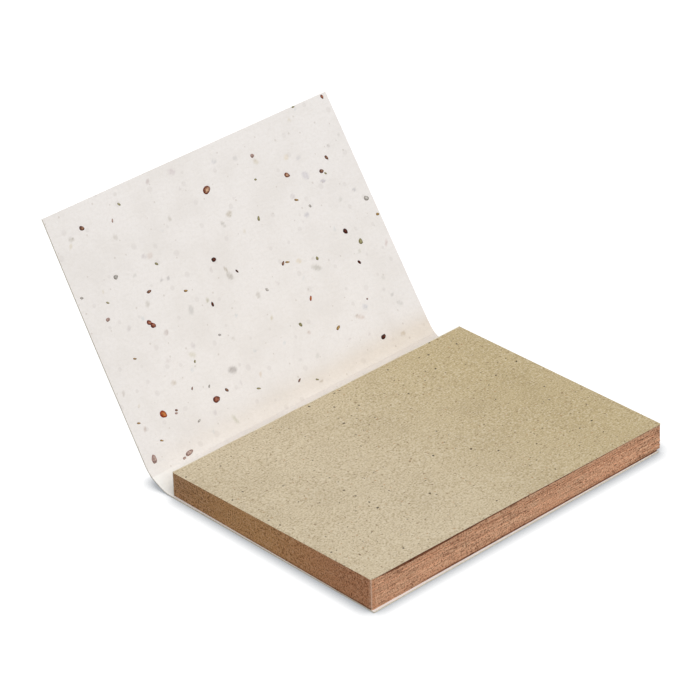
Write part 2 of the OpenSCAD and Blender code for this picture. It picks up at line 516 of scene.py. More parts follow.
# Seeds and chaff on the inner face of the front panel, placed from the photograph: millimetres from
# the card's left edge and up from the second crease
FRONT_MARKS = (
    Mark(53, 62.5, 2.8, 1.9, 21, Husk.BROWN), Mark(10.5, 67, 1.7, 1.2, -26, Husk.DARK),
    Mark(46, 44.8, 1.6, 1.2, -5, Husk.BLACK), Mark(51.5, 39.3, 1.2, 0.6, -58, Husk.BLACK),
    Mark(22.5, 44.5, 1.6, 0.8, 6, Husk.DARK), Mark(33.5, 40.5, 1.3, 0.6, -15, Husk.GOLD),
    Mark(39.8, 34.2, 1.4, 0.8, 86, Husk.BLACK), Mark(18.7, 37.1, 1.6, 1.3, -34, Husk.RED),
    Mark(19.5, 36, 1.7, 1.4, -29, Husk.RED), Mark(80, 57, 1.8, 1.3, -29, Husk.BROWN),
    Mark(91.5, 54, 1.5, 1.1, -8, Husk.DARK), Mark(92.5, 53, 0.9, 0.6, -38, Husk.OLIVE),
    Mark(95, 56.8, 1.4, 0.9, -61, Husk.DARK), Mark(90.6, 36.3, 1.7, 1.3, -59, Husk.BLACK),
    Mark(94, 32, 1.6, 1.3, 82, Husk.OLIVE), Mark(90.7, 27, 1.3, 0.8, -58, Husk.BLACK),
    Mark(79.5, 49.8, 1.5, 0.6, -22, Husk.GOLD), Mark(83, 46.7, 1, 0.8, -55, Husk.GREY),
    Mark(65.2, 49.6, 1.5, 0.8, 69, Husk.OLIVE), Mark(69.5, 59.5, 0.9, 0.6, -8, Husk.OLIVE),
    Mark(66.7, 35.8, 1.4, 0.7, 46, Husk.DARK), Mark(68.2, 35.6, 1.6, 0.5, -16, Husk.GOLD),
    Mark(78, 33, 1.1, 0.9, 85, Husk.OLIVE), Mark(2, 50.5, 1.1, 0.7, -20, Husk.GREY),
    Mark(9, 46.5, 1.1, 0.5, -36, Husk.OLIVE), Mark(7, 42.5, 1.4, 1, 9, Husk.PINK),
    Mark(14.5, 51.7, 1.5, 1.2, 13, Husk.GREY), Mark(28.2, 50.3, 1.2, 0.7, -40, Husk.OLIVE),
    Mark(71.7, 65.7, 1.3, 1.1, -6, Husk.PINK), Mark(102.3, 72.5, 1.3, 0.9, -79, Husk.RED),
    Mark(102, 42, 1.7, 1.3, -22, Husk.GREY), Mark(103.3, 36.7, 1.2, 0.8, -9, Husk.GOLD),
    Mark(91.5, 73.2, 1.1, 0.5, -3, Husk.OLIVE), Mark(75, 13.5, 1.7, 0.8, 27, Husk.GOLD),
    Mark(63.8, 18.8, 1.3, 0.9, -62, Husk.OLIVE), Mark(70.5, 24, 1.5, 0.7, 56, Husk.ORANGE),
    Mark(58.2, 31.3, 1.1, 0.8, -51, Husk.GREY), Mark(38, 26, 1, 0.6, -16, Husk.GREY),
    Mark(27.2, 22.6, 0.9, 0.6, 53, Husk.OLIVE), Mark(10, 30.2, 1.2, 0.5, -24, Husk.GOLD),
    Mark(24.5, 68.7, 1.2, 0.6, -49, Husk.OLIVE), Mark(20.5, 65.5, 1.2, 0.5, 65, Husk.PINK),
    Mark(11.4, 13.8, 2.3, 1.8, -43, Husk.ORANGE), Mark(15.7, 13.2, 1, 0.6, -19, Husk.DARK),
    Mark(15.3, 12.5, 1, 0.6, -13, Husk.PINK), Mark(28.8, 11, 2.3, 1.7, 3, Husk.RED),
    Mark(33, 12, 1.3, 0.8, -51, Husk.DARK), Mark(23, 16.5, 1, 0.5, 53, Husk.DARK),
    Mark(3.2, 14.6, 1.2, 0.5, -17, Husk.GOLD), Mark(21, 8, 1.2, 0.6, 23, Husk.GREY),
    Mark(7.7, 7.8, 1.2, 0.5, -28, Husk.GOLD), Mark(42.7, 8.5, 1.4, 0.5, -21, Husk.OLIVE),
    Mark(28.3, 15, 1, 0.5, 52, Husk.GREY), Mark(56, 5.5, 1.4, 0.5, 30, Husk.DARK),
    Mark(61.5, 3.5, 1.1, 0.5, -30, Husk.OLIVE), Mark(87.8, 5.7, 1.8, 1.2, 20, Husk.BLACK),
    Mark(3.2, 4.4, 2.4, 1.6, 80, Husk.PINK), Mark(14, 1.6, 2.9, 1.2, 10, Husk.PINK),
    Mark(11.8, 0.9, 1.2, 0.7, 10, Husk.PINK), Mark(88, 17, 0.6, 0.5, 0, Husk.DARK),
)

# Seeds that show only faintly through the pulp of the front panel
FRONT_VEILS = (
    Veil(48.7, 39, 2.4, 1.6, -56, "#c9c3bb"), Veil(48.3, 41, 1.5, 0.6, -69, "#b9b09f"),
    Veil(22.4, 32.8, 1.7, 1.3, 34, "#ccc1bb"), Veil(32.7, 35.3, 2.4, 1.7, 70, "#d3cfca"),
    Veil(82.2, 61.5, 1.8, 1.5, 22, "#e6dccd"), Veil(85.8, 54.8, 2.6, 2, -46, "#d6d1d2"),
    Veil(90.6, 51.4, 1.7, 0.8, -18, "#c9c3c6"), Veil(80.7, 45, 1.7, 1.3, -9, "#d0cccd"),
    Veil(99.3, 45.6, 1.3, 0.8, -33, "#ccc8c6"), Veil(56.7, 54.1, 2.2, 1.5, 8, "#cbc2b4"),
    Veil(53.5, 52.3, 2.1, 1.1, -61, "#d0cbc4"), Veil(71.9, 34.5, 1.8, 1.1, -16, "#e2d6c2"),
    Veil(76.5, 30.8, 3.4, 1.4, -27, "#cdc8c0"), Veil(19.3, 61.2, 1.7, 1.2, -48, "#d8d2cb"),
    Veil(27.3, 53, 2.2, 1.6, 0, "#e2d8d1"), Veil(36, 71, 1.4, 1.1, 38, "#d2c8c4"),
    Veil(44.5, 70.8, 2.6, 1.5, -17, "#dcd3d1"), Veil(59, 68.6, 1.7, 1.1, -13, "#d8d5d3"),
    Veil(83.2, 13.5, 3.3, 1.1, -28, "#dccfc6"), Veil(86.2, 15.4, 1.8, 1.4, -10, "#d3d1d2"),
    Veil(65.3, 15.9, 1.3, 0.9, -37, "#d5c8bf"), Veil(94.5, 4, 1.8, 1.1, 0, "#d3c8ba"),
    Veil(96.5, 15, 1.2, 0.8, 18, "#cfcbc6"), Veil(97.8, 12, 2.3, 1.2, -34, "#d8d4cf"),
    Veil(31.7, 4, 3.1, 1.1, -70, "#d5d2c5"), Veil(27.3, 24.5, 2.5, 1.4, -26, "#dcd6c8"),
    Veil(37.3, 16.1, 2.8, 1.8, -12, "#b7b0ab"), Veil(27.7, 45.8, 1.1, 0.8, 4, "#cdc8c4"),
    Veil(29.9, 45.5, 1.2, 1, -69, "#cdc8c4"), Veil(38.8, 35.8, 1.3, 0.8, 86, "#cbc6b6"),
    Veil(2.5, 23.4, 1.6, 0.8, 67, "#d0c8c0"), Veil(4.3, 12.5, 1.4, 0.8, 73, "#d2c6bc"),
    Veil(45.1, 11.7, 1.3, 0.7, 65, "#d8c8b6"), Veil(18.3, 20, 1.6, 1.2, -15, "#d8cec2"),
    Veil(97.3, 59.6, 1.1, 0.8, -9, "#cdc7c2"), Veil(92.3, 29.8, 1.2, 1, 37, "#d0ccc0"),
    Veil(102, 28.6, 2.3, 0.8, 53, "#dccfca"), Veil(56, 24, 1.4, 0.8, 60, "#d8cfbc"),
    Veil(86, 60, 1.5, 1.2, 0, "#dcd8d6"), Veil(66, 67, 1.6, 1.2, -30, "#dad6d2"),
    Veil(12, 38, 1.6, 1.1, 40, "#dad4d0"), Veil(62.5, 2.5, 1.3, 0.7, 10, "#cfc6ba"),
)


@dataclass
class CardLine:
    """Course of the card's middle layer over both creases, as the cover stands open.

    Distances along the card start at the back panel's free edge. The two ends of the front panel
    lean a little differently, so the panel is slightly warped.
    """

    width: float = 104.2
    thickness: float = 0.35
    back: float = 75.0
    strip: float = 7.8
    front: float = 73.45
    shift: float = -0.2
    strip_lead: float = 0.3
    strip_radius: float = 10.0
    strip_curl: float = 27.0
    crease_turn: float = 10.0
    crease_half: float = 0.25
    foot_lead: float = 0.3
    foot_run: float = 3.76
    left_lean: tuple[float, float] = (57.2, 58.8)
    right_lean: tuple[float, float] = (54.9, 55.1)
    top_drift: float = 0.46
    # How far the back panel's cut edges stand out past even ones: the free edge at its left and right
    # ends, and the left edge at its front
    free_spare: tuple[float, float] = (0.6, 0.75)
    left_spare: float = 0.3
    # Heights of the paper's waves, all over and near the second crease, with their sizes
    wave: float = 0.05
    fold_wave: float = 0.15
    wave_size: tuple[float, float] = (26.0, 21.0)
    fold_wave_size: tuple[float, float] = (7.5, 6.0)
    # Width of the card as it lies open, as a share of its flat width
    open_share: float = 1.001
    step: float = 0.05

    @property
    def first_crease(self) -> float:
        """Distance along the card to the first crease."""
        return self.back

    @property
    def second_crease(self) -> float:
        """Distance along the card to the second crease."""
        return self.back + self.strip

    @property
    def total(self) -> float:
        """Length of the card."""
        return self.second_crease + self.front

    def lean(self, along: np.ndarray, across: float) -> np.ndarray:
        """Slope of the card.

        Args:
            along: Distances along the card.
            across: Place across it, measured from its middle.

        Returns:
            Slopes in radians at those distances.
        """
        share = across / self.width + 0.5
        ends = [a + (b - a) * share for a, b in zip(self.left_lean, self.right_lean)]
        curl_start = self.first_crease + self.strip_lead
        crease = self.second_crease
        stops = [0.0, curl_start, curl_start + self.strip_radius * math.radians(self.strip_curl),
                 crease - self.crease_half, crease + self.crease_half, crease + self.foot_lead,
                 crease + self.foot_lead + self.foot_run, self.total]
        foot = self.strip_curl + self.crease_turn
        slopes = [0.0, 0.0, self.strip_curl, self.strip_curl, foot, foot, *ends]
        return np.radians(np.interp(along, stops, slopes))

    def lift(self, across: float, along: float) -> float:
        """Height of the paper's slight waves above its even course, in millimetres."""
        past = along - self.first_crease
        if past <= 0:
            return 0.0
        free = min(1.0, past / 6)
        slow = noise.noise(Vector((across / self.wave_size[0], along / self.wave_size[1], 3.7)))
        near = math.exp(-(((along - self.second_crease - 3) / 5) ** 2))
        quick = noise.noise(Vector((across / self.fold_wave_size[0], along / self.fold_wave_size[1], 9.1)))
        return free * (self.wave * slow + self.fold_wave * near * quick)

    def surface(self, along: np.ndarray, across: np.ndarray) -> tuple[np.ndarray, np.ndarray]:
        """Places of the middle layer in the row frame.

        Args:
            along: Distances along the card, rising.
            across: Places across it, measured from its middle.

        Returns:
            Places in millimetres and slopes in radians, by distance and place across.
        """
        fine = np.arange(0.0, self.total + self.step, self.step)
        places = np.zeros((len(along), len(across), 3))
        slopes = np.zeros((len(along), len(across)))
        drift = np.clip((along - self.second_crease) / self.front, 0, 1) * self.top_drift
        near = np.clip(1 - along / self.first_crease, 0, 1)
        for column, x in enumerate(across):
            angle = self.lean(fine, x)
            run, rise = (np.concatenate([[0.0], np.cumsum((f(angle[1:]) + f(angle[:-1])) / 2 * self.step)])
                         for f in (np.cos, np.sin))
            slope = self.lean(along, x)
            lifts = np.array([self.lift(float(x), float(u)) for u in along])
            share = x / self.width + 0.5
            spare = self.free_spare[0] * (1 - share) + self.free_spare[1] * share
            places[:, column, 0] = (x * self.open_share + self.shift + drift
                                    - self.left_spare * (1 - share) * near)
            places[:, column, 1] = (np.interp(along, fine, run) - self.back / 2 - np.sin(slope) * lifts
                                    - spare * near)
            places[:, column, 2] = np.interp(along, fine, rise) + self.thickness / 2 + np.cos(slope) * lifts
            slopes[:, column] = slope
        return places, slopes

    def seat(self, along: float, across: float, side: float, turn: float) -> Matrix:
        """Frame of a seed that sits on one face of the card.

        Args:
            along: Distance along the card.
            across: Place across it, measured from its middle.
            side: 1 for the inner face and -1 for the outer face.
            turn: Turn in the card's plane in degrees.

        Returns:
            Matrix in millimetres whose Z points out of the card.
        """
        places, slopes = self.surface(np.array([along]), np.array([across]))
        slope = slopes[0, 0]
        out = Vector((0.0, -math.sin(slope), math.cos(slope))) * side
        first = Vector((side, 0.0, 0.0))
        second = out.cross(first)
        base = Vector(places[0, 0]) + out * self.thickness / 2
        axes = Matrix((first, second, out)).transposed().to_4x4()
        return Matrix.Translation(base) @ axes @ Matrix.Rotation(math.radians(turn), 4, "Z")


def grid_mesh(name: str, columns: int, rows: int) -> tuple[bpy.types.Mesh, np.ndarray, np.ndarray]:
    """Makes a flat grid of faces with a sharp outline, ready to be shaped.

    Args:
        name: Name of the mesh.
        columns: Number of points across.
        rows: Number of points along.

    Returns:
        The mesh, and the column and row of each of its points.
    """
    work = bmesh.new()
    bmesh.ops.create_grid(work, x_segments=columns - 1, y_segments=rows - 1, size=1.0)
    for edge in work.edges:
        edge.smooth = not edge.is_boundary
    for face in work.faces:
        face.smooth = True
    data = bpy.data.meshes.new(name)
    work.to_mesh(data)
    work.free()
    flat = np.zeros(len(data.vertices) * 3)
    data.vertices.foreach_get("co", flat)
    flat = flat.reshape(-1, 3)
    column = np.rint((flat[:, 0] + 1) / 2 * (columns - 1)).astype(int)
    row = np.rint((flat[:, 1] + 1) / 2 * (rows - 1)).astype(int)
    return data, column, row


def new_piece(name: str, data: bpy.types.Mesh, *materials: bpy.types.Material) -> bpy.types.Object:
    """Links a mesh as a piece at the origin.

    Args:
        name: Name of the piece.
        data: Its mesh, in metres in the row frame.
        materials: Its materials in the order of its slots.

    Returns:
        The piece.
    """
    piece = bpy.data.objects.new(name, data)
    bpy.context.scene.collection.objects.link(piece)
    for material in materials:
        data.materials.append(material)
    return piece


def point_values(data: bpy.types.Mesh, name: str, values: np.ndarray) -> None:
    """Stores one number for each point of a mesh."""
    layer = data.attributes.new(name, "FLOAT", "POINT")
    layer.data.foreach_set("value", values.astype(np.float32).ravel())


def point_colours(data: bpy.types.Mesh, name: str, values: np.ndarray) -> None:
    """Stores one linear colour for each point of a mesh."""
    layer = data.attributes.new(name, "FLOAT_COLOR", "POINT")
    whole = np.ones((len(values), 4), np.float32)
    whole[:, :3] = values
    layer.data.foreach_set("color", whole.ravel())


def plane_coordinates(data: bpy.types.Mesh, name: str, across: np.ndarray, along: np.ndarray) -> None:
    """Stores flat coordinates of a mesh's points as a UV map.

    Args:
        data: The mesh.
        name: Name of the map.
        across: Places across in millimetres.
        along: Places along in millimetres.
    """
    index = np.zeros(len(data.loops), int)
    data.loops.foreach_get("vertex_index", index)
    places = np.stack([across / FLAT_UNIT, along / FLAT_UNIT], 1)
    data.uv_layers.new(name=name).data.foreach_set("uv", places[index].astype(np.float32).ravel())


def moved(places: np.ndarray, matrix: Matrix) -> np.ndarray:
    """Places after a matrix has moved them, one in each row."""
    return (np.concatenate([places, np.ones((len(places), 1))], 1) @ np.array(matrix).T)[:, :3]


def report(piece: bpy.types.Object) -> None:
    """Reports a finished piece."""
    LOG.info("made %s with %d points", piece.name, len(piece.data.vertices))


def thicken(piece: bpy.types.Object, thickness: float, offset: float, rim: int) -> None:
    """Gives a sheet its thickness.

    Args:
        piece: The sheet.
        thickness: Thickness in millimetres.
        offset: Where the thickness lies, from -1 to 1 about the mesh.
        rim: Steps from the faces' material slot to that of the cut edge.
    """
    solid = piece.modifiers.new("thickness", "SOLIDIFY")
    solid.thickness = thickness * MM
    solid.offset = offset
    solid.material_offset_rim = rim


@dataclass
class Cover:
    """The folded seed-paper cover: two sheets of card that meet half-way across the spine strip."""

    line: CardLine = field(default_factory=CardLine)
    column_step: float = 0.45
    fine_step: float = 0.12
    panel_step: float = 0.45
    back_step: float = 1.0
    blend_run: float = 0.8
    # Painted shade on the strip behind the pad, darker to the right where the block shades it
    strip_shade: str = "#f5f4f4"
    score_depth: float = 0.05
    score_width: float = 0.22
    # Painted warm shade at the second crease: how far up the panel its middle lies, and how far it spreads
    fold_middle: float = 2.5
    fold_spread: float = 4.5
    # Plain paper, against which the tint of a veil is measured
    plain: str = "#ece7e2"
    veil_reach: float = 2.8
    chance: int = 11

    @property
    def seam(self) -> float:
        """Distance along the card to the faint score at which the two sheets meet."""
        return self.line.first_crease + self.line.strip / 2

    def rows(self, start: float, end: float, step: float) -> np.ndarray:
        """Distances along the card, closer together near a crease.

        Args:
            start: First distance.
            end: Last distance.
            step: Spacing away from the creases.

        Returns:
            The distances, rising.
        """
        found = [start]
        while found[-1] < end - 1e-6:
            here = found[-1]
            gap = min(abs(here - c) for c in (self.line.first_crease, self.line.second_crease))
            found.append(here + max(self.fine_step, min(step, 0.25 * gap + self.fine_step)))
        found[-1] = end
        return np.array(found)

    def veils(self) -> list[tuple[float, float, Veil]]:
        """Places of the seeds that show faintly, as distance along, place across and veil."""
        half = self.line.width / 2
        found = [(self.line.second_crease + v.up, v.left - half, v) for v in FRONT_VEILS]
        rng = random.Random(self.chance)
        tints = ("#dcd8d2", "#ddd6d1", "#d3cdc5", "#e0d8ca", "#d8d1ce", "#d9d9d7")
        for low, high, count in ((1.5, self.line.first_crease - 1, 70),
                                 (self.line.second_crease + 1, self.line.total - 1, 40)):
            for _ in range(count):
                length = rng.uniform(0.9, 1.9)
                found.append((rng.uniform(low, high), rng.uniform(1 - half, half - 1), Veil(
                    0, 0, length, length * rng.uniform(0.5, 0.9), rng.uniform(0, 180), rng.choice(tints))))
        return found

    def stain(self, reach: np.ndarray, side: np.ndarray) -> np.ndarray:
        """Tint of the veils at points of the card.

        Args:
            reach: Distances along the card.
            side: Places across it, measured from its middle.

        Returns:
            One linear colour for each point, white where nothing shows.
        """
        tint = np.ones((len(reach), 3))
        base = np.array(linear(self.plain)[:3])
        for centre, place, veil in self.veils():
            near = np.nonzero((abs(reach - centre) < self.veil_reach)
                              & (abs(side - place) < self.veil_reach))[0]
            turn = math.radians(veil.turn)
            x, y = side[near] - place, reach[near] - centre
            u = (x * math.cos(turn) + y * math.sin(turn)) / (veil.length / 2)
            v = (y * math.cos(turn) - x * math.sin(turn)) / (veil.width / 2)
            share = np.clip((1.3 - np.sqrt(u * u + v * v)) / 0.6, 0, 1)
            patch = np.array([noise.noise(Vector((a * 1.9, b * 1.9, centre))) for a, b in zip(x, y)])
            share = share * share * (3 - 2 * share) * np.clip(0.8 + 0.7 * patch, 0.2, 1)
            tint[near] *= 1 - share[:, None] * (1 - np.clip(np.array(linear(veil.tint)[:3]) / base, 0, 1))
        return tint

    def sheet(self, name: str, along: np.ndarray, materials: list[bpy.types.Material]) -> bpy.types.Object:
        """Builds one of the two sheets.

        Args:
            name: Name of the piece.
            along: Distances along the card of its rows of points.
            materials: Material of the faces and of the cut edge.

        Returns:
            The sheet, with its thickness, flat coordinates, folds and stains.
        """
        line = self.line
        half = line.width / 2
        count = round(line.width / self.column_step) + 1
        across = np.linspace(-half, half, count)
        places, slopes = line.surface(along, across)
        data, column, row = grid_mesh(name, count, len(along))
        points = places[row, column].copy()
        reach, side = along[row], across[column]
        crease = np.minimum(abs(reach - line.first_crease), abs(reach - line.second_crease))
        groove = self.score_depth * np.exp(-((crease / self.score_width) ** 2))
        groove += 0.4 * self.score_depth * np.exp(-(((reach - self.seam) / self.score_width) ** 2))
        points[:, 1] += np.sin(slopes[row, column]) * groove
        points[:, 2] -= np.cos(slopes[row, column]) * groove
        points[:, 2] = np.maximum(points[:, 2], line.thickness / 2)
        data.vertices.foreach_set("co", (points * MM).ravel())
        foot = np.exp(-(((reach - line.second_crease - self.fold_middle) / self.fold_spread) ** 2))
        inside = (reach - line.first_crease) * (line.second_crease + 0.4 - reach)
        # Painted warm shade just above the second crease, stronger to the right
        point_values(data, "fold", np.clip(0.5 * foot * (0.1 + 0.9 * (side / line.width + 0.5)), 0, 1))
        # Painted light on the strip's left end, fading out where the block shades the strip
        point_values(data, "strip_light", np.clip(inside / 3, 0, 1) * np.clip(0.9 - (side + half) / 14, 0, 1))
        # Painted shade on the strip, darker to the right behind the block, carried in the veil colours
        strip_shading = np.clip(inside / 3, 0, 1) * np.clip((side + half - 6) / 20, 0, 1)
        strip_shading = 1 - strip_shading[:, None] * (1 - np.array(linear(self.strip_shade)[:3]))
        point_colours(data, "veil", self.stain(reach, side) * strip_shading)
        plane_coordinates(data, "flat", side + half + 20, reach + 10)
        data.update()
        piece = new_piece(name, data, *materials)
        thicken(piece, line.thickness, 0.0, 1)
        return piece

    def build(self, paper: bpy.types.Material, edge: bpy.types.Material) -> None:
        """Builds both sheets, each shaped along the card's course over its crease.

        Args:
            paper: Material of the faces.
            edge: Material of the cut edges.
        """
        line = self.line
        back = self.sheet("cover_back", np.concatenate([
            self.rows(0.0, line.first_crease - 3, self.back_step)[:-1],
            self.rows(line.first_crease - 3, self.seam, self.panel_step)]), [paper, edge])
        front = self.sheet("cover_front", self.rows(self.seam, line.total, self.panel_step), [paper, edge])
        for piece, bodies, crease, nodes in (
                (back, ("pad", "strip"), line.first_crease, ("back_cover", "spine_strip")),
                (front, ("strip", "cover"), line.second_crease, ("front_cover",))):
            places, _ = line.surface(np.array([crease, crease + self.blend_run]), np.array([0.0]))
            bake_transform(piece)
            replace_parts(piece, *nodes)
            report(piece)


@dataclass
class Seeds:
    """Seeds and chaff that stand out of the card's faces."""

    line: CardLine
    large: float = 1.25
    # Height of a seed as a share of its width, and its least and greatest height
    rise_share: float = 0.2
    least: float = 0.1
    proud: float = 0.3
    # Greatest height under the back panel, where the pad's weight has pressed the seeds flush
    flush: float = 0.02
    # Distances that scattered seeds keep from each other and from the card's sides
    apart: float = 3.2
    margin: float = 1.5
    chance: int = 23

    def shape(self, work: bmesh.types.BMesh, seat: Matrix, mark: Mark, number: int,
              most: float) -> None:
        """Adds one seed: a flattened, tapered and slightly lumpy ball, half sunk into the card.

        Args:
            work: Mesh that takes the seed.
            seat: Its frame on the card, in millimetres.
            mark: Its size and kind.
            number: Its number, which sets its lumps.
            most: Greatest height to which it may stand out of the card.
        """
        colour = work.verts.layers.float_color.get("husk")
        sides, rings = (16, 10) if mark.length >= self.large else (9, 6)
        made = bmesh.ops.create_uvsphere(work, u_segments=sides, v_segments=rings, radius=1.0)
        height = min(most, max(self.least, self.rise_share * mark.width))
        size = Matrix.Diagonal((mark.length / 2, mark.width / 2, height, 1.0))
        rim, crown = (Vector(linear(code)[:3]) for code in mark.husk.value)
        for point in made["verts"]:
            here = point.co.copy()
            lump = noise.noise(here * 1.4 + Vector((number * 3.1, 0, 0)))
            out = math.hypot(here.x, here.y)
            share = min(1.0, max(0.0, (0.82 - out) / 0.5)) if here.z > 0 else 0.0
            shade = rim.lerp(crown, min(1.0, max(0.0, share * (0.85 + 0.9 * lump))))
            point[colour] = (*shade, 1.0)
            point.co = here * (1 + 0.14 * lump)
            point.co.y *= 1 - 0.16 * here.x
            point.co = seat @ size @ point.co * MM

    def scatter(self, along: tuple[float, float], count: int, rng: random.Random) -> list[tuple[float, Mark]]:
        """Scatters seeds over a face that the photograph doesn't show.

        Args:
            along: Lowest and highest distance along the card.
            count: Number of seeds.
            rng: Source of the random draws.

        Returns:
            Distance along the card and mark of each seed.
        """
        kinds = (Husk.BLACK, Husk.DARK, Husk.BROWN, Husk.RED, Husk.ORANGE, Husk.GOLD, Husk.OLIVE,
                 Husk.OLIVE, Husk.PINK, Husk.GREY)
        found: list[tuple[float, Mark]] = []
        while len(found) < count:
            place, left = rng.uniform(*along), rng.uniform(self.margin, self.line.width - self.margin)
            if all(math.hypot(place - p, left - m.left) > self.apart for p, m in found):
                length = rng.choice((0.9, 1.1, 1.2, 1.4, 1.6, 2.3))
                found.append((place, Mark(left, 0, length, length * rng.uniform(0.4, 0.75),
                                          rng.uniform(0, 180), rng.choice(kinds))))
        return found

    def group(self, name: str, body: str, marks: list[tuple[float, float, Mark]],
              material: bpy.types.Material, most: float) -> bpy.types.Object:
        """Joins seeds that ride on one body into one piece.

        Args:
            name: Name of the piece.
            body: Body that it rides on.
            marks: Distance along the card, side and mark of each seed.
            material: Their material.
            most: Greatest height to which a seed may stand out of the card.

        Returns:
            The piece.
        """
        work = bmesh.new()
        work.verts.layers.float_color.new("husk")
        for number, (along, side, mark) in enumerate(marks):
            seat = self.line.seat(along, mark.left - self.line.width / 2, side, mark.turn)
            self.shape(work, seat, mark, number, most)
        for face in work.faces:
            face.smooth = True
        bmesh.ops.recalc_face_normals(work, faces=work.faces)
        data = bpy.data.meshes.new(name)
        work.to_mesh(data)
        work.free()
        piece = new_piece(name, data, material)
        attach(piece, body)
        report(piece)
        return piece

    def build(self, husk: bpy.types.Material) -> None:
        """Builds the seeds of every face.

        Args:
            husk: Their material.
        """
        rng = random.Random(self.chance)
        line, margin = self.line, self.margin
        inner = [(line.second_crease + m.up, 1.0, m) for m in FRONT_MARKS]
        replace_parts(self.group("seeds_inner", "cover", inner, husk, self.proud), "cover_seeds")
        for name, body, low, high, count, most in (
                ("seeds_outer", "cover", line.second_crease + 2, line.total - margin, 52, self.proud),
                ("seeds_underside", "pad", margin, line.first_crease - margin, 52, self.flush),
                ("seeds_spine", "strip", line.first_crease + 2, line.second_crease - 2, 5, self.proud)):
            marks = [(along, -1.0, mark) for along, mark in self.scatter((low, high), count, rng)]
            self.group(name, body, marks, husk, most)


@dataclass(frozen=True)
class SheetOutline:
    """How one sheet departs from the block's even outline, in millimetres, and how light its edges are painted.

    A tone holds the sheet's own tone and painted shade: one is unshaded and zero is deep in painted shadow.
    Between two shares of the width the front edge may stand back by a hollow and be painted darker there as
    shade.
    """

    left: float = 0.0
    right: float = 0.0
    front_left: float = 0.0
    front_right: float = 0.0
    tone_left: float = 0.8
    tone_right: float = 0.8
    tone_side: float = 0.8
    tone_spine: float = 0.8
    hollow: float = 0.0
    hollow_shade: float = 0.8
    hollow_span: tuple[float, float] = (0.0, 0.0)


